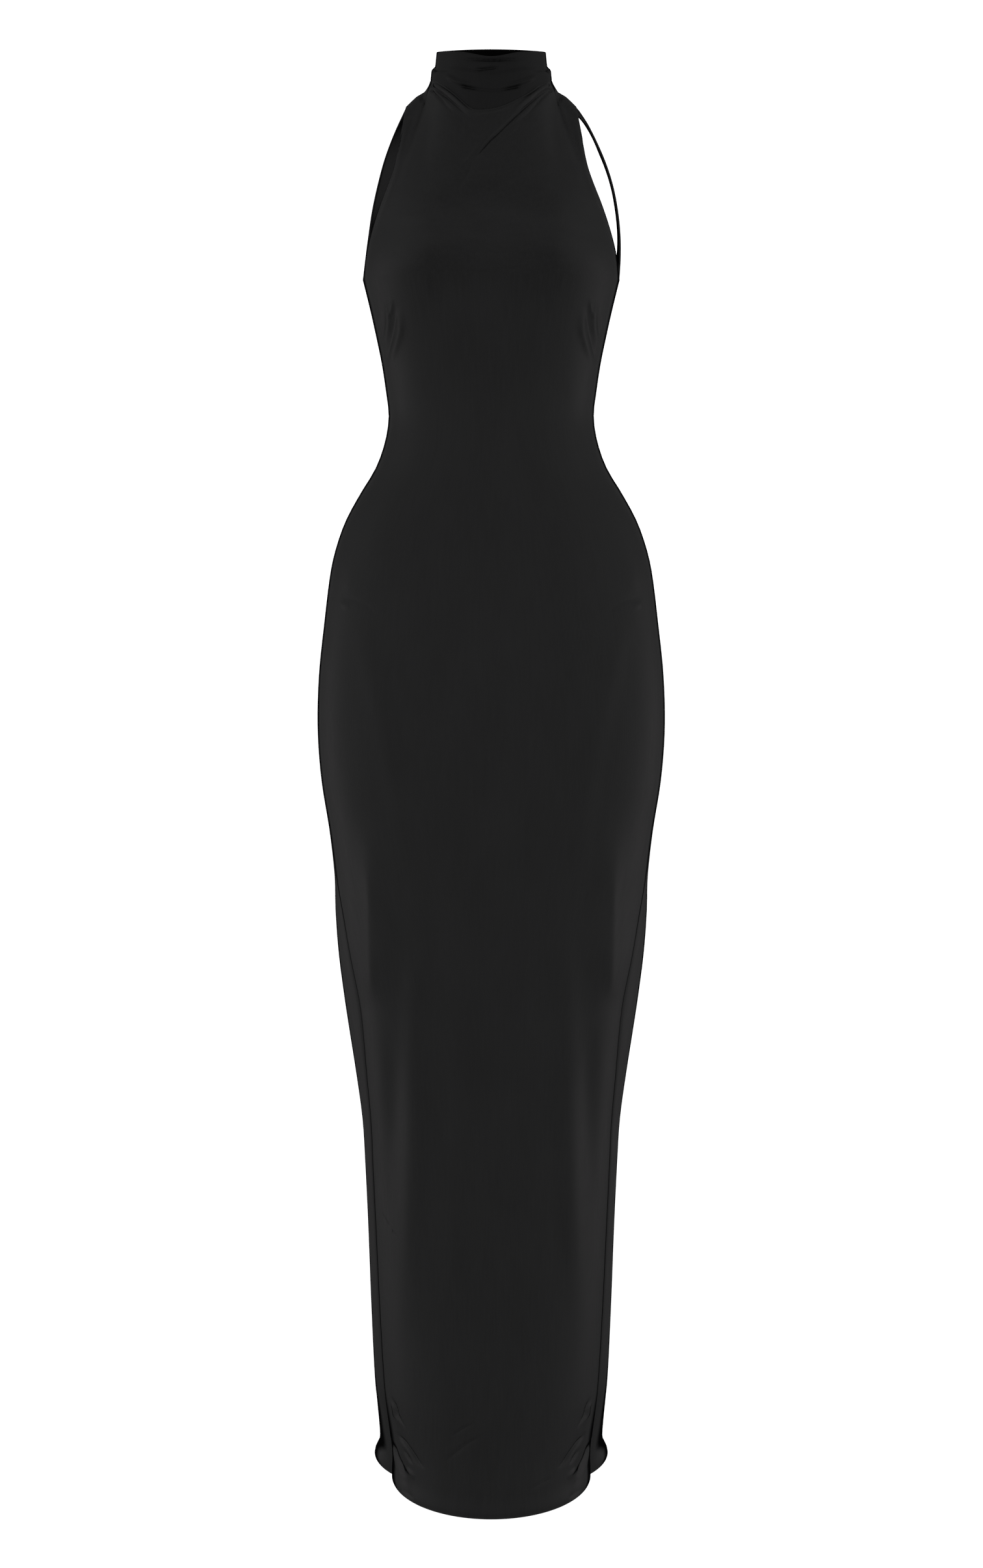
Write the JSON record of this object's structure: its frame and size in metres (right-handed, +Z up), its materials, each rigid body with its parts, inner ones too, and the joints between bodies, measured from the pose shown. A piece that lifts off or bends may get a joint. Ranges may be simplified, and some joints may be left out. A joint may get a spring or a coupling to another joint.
{
  "type": "maxi dress",
  "caption": "Fitted sleeveless maxi dress in black stretch jersey, with a slouchy high neck, a low open back with shoulder bands and a narrow floor-length skirt.",
  "frame": {"origin": "middle of the neck at the height where the shoulder line starts, where the wearer carries the dress", "axes": "+Z up to the collar, the hem is at -Z; the front faces -Y; +X is on the right of someone who looks at the front"},
  "size_m": [0.3604, 0.26, 1.5009],
  "materials": {
    "collar_jersey": "doubled black stretch jersey, smooth with a soft sheen",
    "front_jersey": "black stretch jersey, smooth with a soft sheen",
    "back_jersey": "black stretch jersey, smooth with a soft sheen",
    "strap_jersey": "black stretch jersey with turned edges, smooth with a soft sheen"
  },
  "bodies": {
    "root": {"collar": "collar_jersey", "front_panel": "front_jersey", "back_panel": "back_jersey", "strap_left": "strap_jersey", "strap_right": "strap_jersey"}
  },
  "joints": []
}
